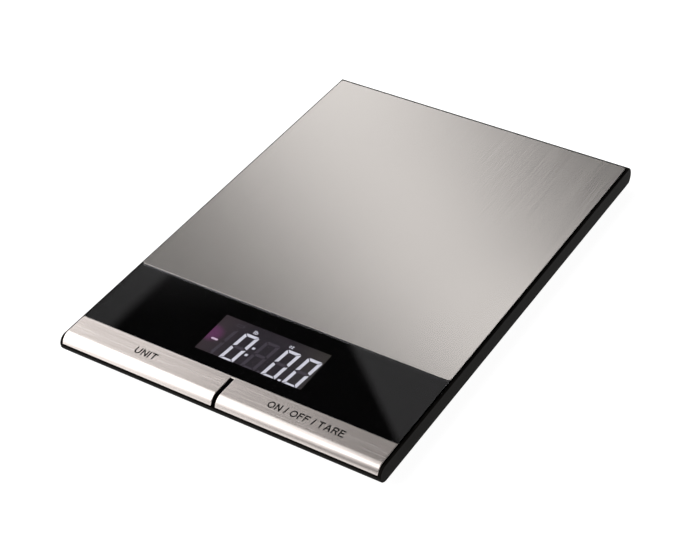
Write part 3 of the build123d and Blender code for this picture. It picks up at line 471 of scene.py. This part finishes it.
def arc(middle, radii, start, end, steps=16):
    """Points along an ellipse from one angle to another, in degrees from +X."""
    angles = [math.radians(start + (end - start) * i / steps) for i in range(steps + 1)]
    return [(middle[0] + radii[0] * math.cos(a), middle[1] + radii[1] * math.sin(a)) for a in angles]


def ring(w, high):
    """A closed round letter, as two bent strokes."""
    middle = outer = (w / 2, high / 2)
    inner = (w / 2 - STROKE, high / 2 - STROKE)
    halves = ((90, 270), (270, 450))
    return [arc(middle, outer, start, end) + arc(middle, inner, end, start) for start, end in halves]


def bowl(turn, end, low, high):
    """The round part on the right of a stem."""
    middle, rise = (turn, (low + high) / 2), (high - low) / 2
    outer = arc(middle, (end - turn, rise), 90, -90)
    inner = arc(middle, (end - turn - STROKE, rise - STROKE), -90, 90)
    foot = [(STROKE, low), (STROKE, low + STROKE)]
    return [(STROKE, high)] + outer + foot + inner + [(STROKE, high - STROKE)]


def letter_u(w):
    foot = 0.38
    outer = arc((w / 2, foot), (w / 2, foot), 180, 360)
    inner = arc((w / 2, foot), (w / 2 - STROKE, foot - STROKE), 360, 180)
    return [[(0, 1)] + outer + [(w, 1), (w - STROKE, 1)] + inner + [(STROKE, 1)]]


def letter_n(w):
    drop = 1.7 * STROKE
    return [[(0, 0), (0, 1), (STROKE, 1), (w - STROKE, drop), (w - STROKE, 1),
             (w, 1), (w, 0), (w - STROKE, 0), (STROKE, 1 - drop), (STROKE, 0)]]


def letter_a(w):
    foot, tip, crotch = 1.08 * STROKE, 0.6 * STROKE, 1 - 1.4 * STROKE
    low, high = 0.27, 0.27 + STROKE

    def inside(height):
        return foot + (w / 2 - foot) * height / crotch

    legs = [(0, 0), (w / 2 - tip, 1), (w / 2 + tip, 1), (w, 0), (w - foot, 0), (w / 2, crotch), (foot, 0)]
    x0, x1 = inside(low), inside(high)
    return [legs, [(x0, low), (w - x0, low), (w - x1, high), (x1, high)]]


def letter_r(w):
    waist, turn, half = 0.44, 0.6 * w, 0.6 * STROKE
    foot = w - 0.5 * STROKE
    leg = [(foot - half, 0), (foot + half, 0), (turn + half, waist), (turn - half, waist)]
    return [block(0, STROKE, 0, 1), bowl(turn, 0.96 * w, waist, 1), leg]


def letter_z(w):
    diagonal, under = 1.4 * STROKE, SMALL - STROKE
    return [[(0, 0), (0, STROKE), (w - diagonal, under), (0, under), (0, SMALL),
             (w, SMALL), (w, under), (diagonal, STROKE), (w, STROKE), (w, 0)]]


def stem_and_arms(*arms):
    """A stem with arms to the right, each a share of the letter's width at a height."""
    def outlines(w):
        return [block(0, STROKE, 0, 1)] + [block(STROKE, w * reach, y, y + STROKE) for reach, y in arms]
    return outlines


TOP = 1 - STROKE
GLYPHS = {  # each letter's width and its outlines
    "U": (0.80, letter_u),
    "N": (0.78, letter_n),
    "A": (0.92, letter_a),
    "R": (0.82, letter_r),
    "I": (STROKE, lambda w: [block(0, w, 0, 1)]),
    "T": (0.80, lambda w: [block(0, w, TOP, 1), block((w - STROKE) / 2, (w + STROKE) / 2, 0, TOP)]),
    "O": (0.98, lambda w: ring(w, 1)),
    "F": (0.68, stem_and_arms((1.0, TOP), (0.88, 0.46))),
    "E": (0.73, stem_and_arms((0.98, TOP), (0.92, 0.47), (1.0, 0))),
    "/": (0.34, lambda w: [[(0, 0), (STROKE, 0), (w, 1), (w - STROKE, 1)]]),
    "l": (STROKE, lambda w: [block(0, w, 0, 1)]),
    "b": (0.62, lambda w: [block(0, STROKE, 0, 1), bowl(w / 2, w, 0, SMALL)]),
    "o": (0.64, lambda w: ring(w, SMALL)),
    "z": (0.58, letter_z),
}


def line_of_letters(words):
    """A line's outlines and its width, standing on y = 0."""
    outlines, x = [], 0.0
    for letter in words:
        if letter == " ":
            x += SPACE
        else:
            wide, draw = GLYPHS[letter]
            outlines += [[(x + px, py) for px, py in outline] for outline in draw(wide)]
            x += wide + LETTER_GAP
    return outlines, x - LETTER_GAP


def lettering(name, words, place, length, tall, material, body, slot):
    """A line of flat lettering of a given length and height; place is the middle of its foot."""
    middle, base, z = place
    outlines, natural = line_of_letters(words)
    left, wide = middle - length / 2, length / natural
    placed = [[(left + x * wide, base + y * tall) for x, y in outline] for outline in outlines]
    mesh_piece(name, body, slot, material, *plates(placed, z, INK_THICK))


LABEL_TALL = 3.8 * MM
LABEL_LIFT = 0.004 * MM
LABELS = (  # name, words, body, the middle of the foot in X and Y, and the length
    ("label_unit", "UNIT", "unit_key", -40.5 * MM, -107.3 * MM, 10.9 * MM),
    ("label_power", "ON / OFF / TARE", "power_key", 39.5 * MM, -107.1 * MM, 36.5 * MM),
)


def key_labels():
    """Generic function names on the two keys."""
    ink = printing_ink("printing_ink")
    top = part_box("unit_key_facing")[1].z + LABEL_LIFT
    for name, words, body, x, y, length in LABELS:
        lettering(name, words, (x, y, top), length, LABEL_TALL, ink, body, "inner_plastic")


# ---------------------------------------------------------------- finishes on the CAD nodes
def dress():
    """Gives every CAD node its finish."""
    plate = brushed_steel("plate_steel", (0.643, 0.607, 0.580), "Y", 0.25, 0.07, 0.0003 * MM)
    finish_nodes(plate, "platform_plate")
    keys = brushed_steel("key_steel", (0.655, 0.594, 0.565), "X", 0.26, 0.11, 0.0006 * MM)
    finish_nodes(keys, "unit_key_facing", "power_key_facing")
    tub = moulded_plastic("tub_black", (0.0060, 0.0053, 0.0044), specular=0.016)
    finish_nodes(tub, "base_shell", "battery_door")
    inner = moulded_plastic("inner_black", (0.008, 0.008, 0.008), roughness=(0.5, 0.65), specular=0.1)
    finish_nodes(inner, "front_deck", "unit_key_carrier", "power_key_carrier", "lcd_holder", "unit_switch",
                 "power_switch", "unit_plunger", "power_plunger")
    finish_nodes(moulded_plastic("tray_black", (0.010, 0.010, 0.010), specular=0.1), "platform_tray")
    finish_nodes(window_pane("window_acrylic"), "display_window")
    mask = moulded_plastic("mask_black", (0.0012, 0.0012, 0.0011), grain=4000, specular=0.02)
    finish_nodes(mask, "window_mask")
    finish_nodes(moulded_plastic("guide_white", (0.7, 0.7, 0.72), roughness=(0.15, 0.25)), "light_guide")
    finish_nodes(moulded_plastic("lamp_body", (0.75, 0.72, 0.55), roughness=(0.2, 0.3)), "backlight_leds")
    resin = moulded_plastic("resin_black", (0.008, 0.008, 0.008), roughness=(0.1, 0.2))
    finish_nodes(resin, "controller_blob")
    finish_nodes(moulded_plastic("chip_ceramic", (0.22, 0.17, 0.12)), "board_chips")
    sealant = moulded_plastic("sealant_white", (0.75, 0.75, 0.73), grain=500, depth=0.05 * MM)
    finish_nodes(sealant, "gauge_potting")
    finish_nodes(moulded_plastic("wire_red", (0.4, 0.02, 0.015), roughness=(0.3, 0.4)), "battery_wires")
    finish_nodes(moulded_plastic("wire_grey", (0.55, 0.53, 0.5), roughness=(0.3, 0.4)), "cell_wires")
    rubber = moulded_plastic("foot_rubber", (0.022, 0.022, 0.022), grain=900, roughness=(0.7, 0.85))
    finish_nodes(rubber, *[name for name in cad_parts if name.startswith("foot_")])
    finish_nodes(metal("zinc", (0.55, 0.55, 0.53)), "deck_screws", "board_screws", "cell_screws_lower",
                 "cell_screws_upper")
    finish_nodes(metal("beam_aluminium", (0.72, 0.72, 0.73)), "load_cell")
    finish_nodes(metal("spring_strip", (0.62, 0.6, 0.54)), "contact_negative", "contact_positive")
    finish_nodes(coin_can("coin_nickel"), "coin_cells")
    finish_nodes(circuit_board("board_green"), "main_board")
    finish_nodes(striped_rubber("connector_stripes"), "zebra_strip")
    for name, make in (("lcd_cell", display_glass), ("rating_label", printed_label)):
        low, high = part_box(name)
        finish_nodes(make(name + "_finish", (low + high) / 2, (high - low) / 2), name)


# ---------------------------------------------------------------- studio
TARGET = Vector((7.9, -23.0, 12.0)) * MM
CAMERA_DISTANCE = 0.7666
CAMERA_AZIMUTH = 213.72  # this and the next two are in degrees; direction() says how they turn
CAMERA_ELEVATION = 39.57
CAMERA_ROLL = -2.86
LENS = 90.6
SENSOR = 36.0
CLIP = (0.01, 50)
FLOOR_Z = -0.05 * MM  # just under the feet, so that no faces coincide
FLOOR_HALF = 6.0
FLOOR_GLOW = 0.95


def direction(azimuth, elevation):
    """The unit vector towards a place in the sky: azimuth turns from the back (+Y) to the left (-X)."""
    a, e = math.radians(azimuth), math.radians(elevation)
    return Vector((-math.sin(a) * math.cos(e), math.cos(a) * math.cos(e), math.sin(e)))


def camera():
    data = bpy.data.cameras.new("camera")
    data.lens, data.sensor_width = LENS, SENSOR
    data.clip_start, data.clip_end = CLIP
    made = bpy.data.objects.new("camera", data)
    bpy.context.scene.collection.objects.link(made)
    back = direction(CAMERA_AZIMUTH, CAMERA_ELEVATION)
    turn = back.to_track_quat("Z", "Y").to_matrix() @ Matrix.Rotation(math.radians(CAMERA_ROLL), 3, "Z")
    made.matrix_world = Matrix.Translation(TARGET + back * CAMERA_DISTANCE) @ turn.to_4x4()
    bpy.context.scene.camera = made


def floor():
    """A plain pale floor that gives off light of its own, so that shadows stay faint."""
    corners = [(x, y, FLOOR_Z) for x, y in block(-FLOOR_HALF, FLOOR_HALF, -FLOOR_HALF, FLOOR_HALF)]
    mesh = bpy.data.meshes.new("floor")
    mesh.from_pydata(corners, [], [(0, 1, 2, 3)])
    finish = Finish("floor_white", (0.5, 0.5, 0.5), roughness=0.9, specular_ior_level=0.0)
    paper = finish.noise(finish.place(), 3.0, detail=2)
    tone = finish.blend(finish.spread(paper, 0, 1), (0.29, 0.29, 0.29), (0.31, 0.31, 0.31))
    finish.feed("Base Color", tone)
    finish.shader.inputs["Emission Color"].default_value = (1, 1, 1, 1)
    finish.shader.inputs["Emission Strength"].default_value = FLOOR_GLOW
    mesh.materials.append(finish.material)
    made = bpy.data.objects.new("floor", mesh)
    bpy.context.scene.collection.objects.link(made)


class Sky(Nodes):
    """Soft-edged panels of white light on a faint dome. Azimuths and elevations are in degrees."""

    def __init__(self, dome):
        world = bpy.data.worlds.new("studio")
        world.use_nodes = True
        bpy.context.scene.world = world
        super().__init__(world.node_tree)
        towards = self.apart(self.node("TexCoord").outputs["Generated"])
        turned = self.math("ARCTAN2", self.math("MULTIPLY", towards["X"], -1.0), towards["Y"])
        self.azimuth = self.math("DEGREES", turned)
        self.elevation = self.math("DEGREES", self.math("ARCSINE", towards["Z"]))
        self.light = dome

    def edge(self, value, place, softness):
        """Rises from 0 to 1 as value passes place."""
        made = self.node("MapRange", interpolation_type="SMOOTHSTEP")
        made.inputs["From Min"].default_value = place - softness
        made.inputs["From Max"].default_value = place + softness
        self.link(value, made.inputs["Value"])
        return made.outputs["Result"]

    def span(self, value, first, last, soft_first, soft_last):
        rise = self.edge(value, first, soft_first)
        fall = self.math("SUBTRACT", 1.0, self.edge(value, last, soft_last))
        return self.math("MULTIPLY", rise, fall)

    def panel(self, strength, azimuths, elevations, soft_sides, soft_ends, lean=0.0, level=0.0):
        """Adds a panel. Its sides lean by this many degrees of azimuth for each degree above a level."""
        rise = self.math("SUBTRACT", self.elevation, level)
        azimuth = self.math("ADD", self.azimuth, self.math("MULTIPLY", rise, lean))
        sides = self.span(azimuth, *azimuths, *soft_sides)
        ends = self.span(self.elevation, *elevations, *soft_ends)
        shape = self.math("MULTIPLY", sides, ends)
        self.light = self.math("ADD", self.light, self.math("MULTIPLY", shape, strength))

    def finish(self):
        self.link(self.light, self.tree.nodes["Background"].inputs["Color"])


def studio():
    """Soft boxes, as bright parts of the sky."""
    sky = Sky(0.02)
    # the broad one on the left
    sky.panel(3.8, azimuths=(54, 146.5), elevations=(-3, 62), soft_sides=(1, 10.5), soft_ends=(4, 11.5))
    # a low one behind, and a small one above that
    sky.panel(1.9, azimuths=(29.5, 40), elevations=(11.5, 36.5), soft_sides=(1.5, 6), soft_ends=(7.5, 4))
    sky.panel(3.0, azimuths=(19, 27.5), elevations=(41, 46.5), soft_sides=(2, 1), soft_ends=(2, 1.5))
    # two weak ones with leaning sides, which the window mirrors at its two ends
    sky.panel(0.34, azimuths=(24, 33.5), elevations=(37.5, 49), soft_sides=(2, 0.3), soft_ends=(0.5, 1),
              lean=0.6, level=42)
    sky.panel(0.27, azimuths=(41.5, 56), elevations=(34.5, 46.5), soft_sides=(0.5, 3), soft_ends=(1, 2),
              lean=-1.9, level=39)
    # the fill on the right
    sky.panel(0.35, azimuths=(-165, -70), elevations=(0, 50), soft_sides=(20, 20), soft_ends=(5, 15))
    sky.finish()


dress()
display_segments()
key_labels()
camera()
floor()
studio()
bpy.context.scene.view_settings.view_transform = "Standard"
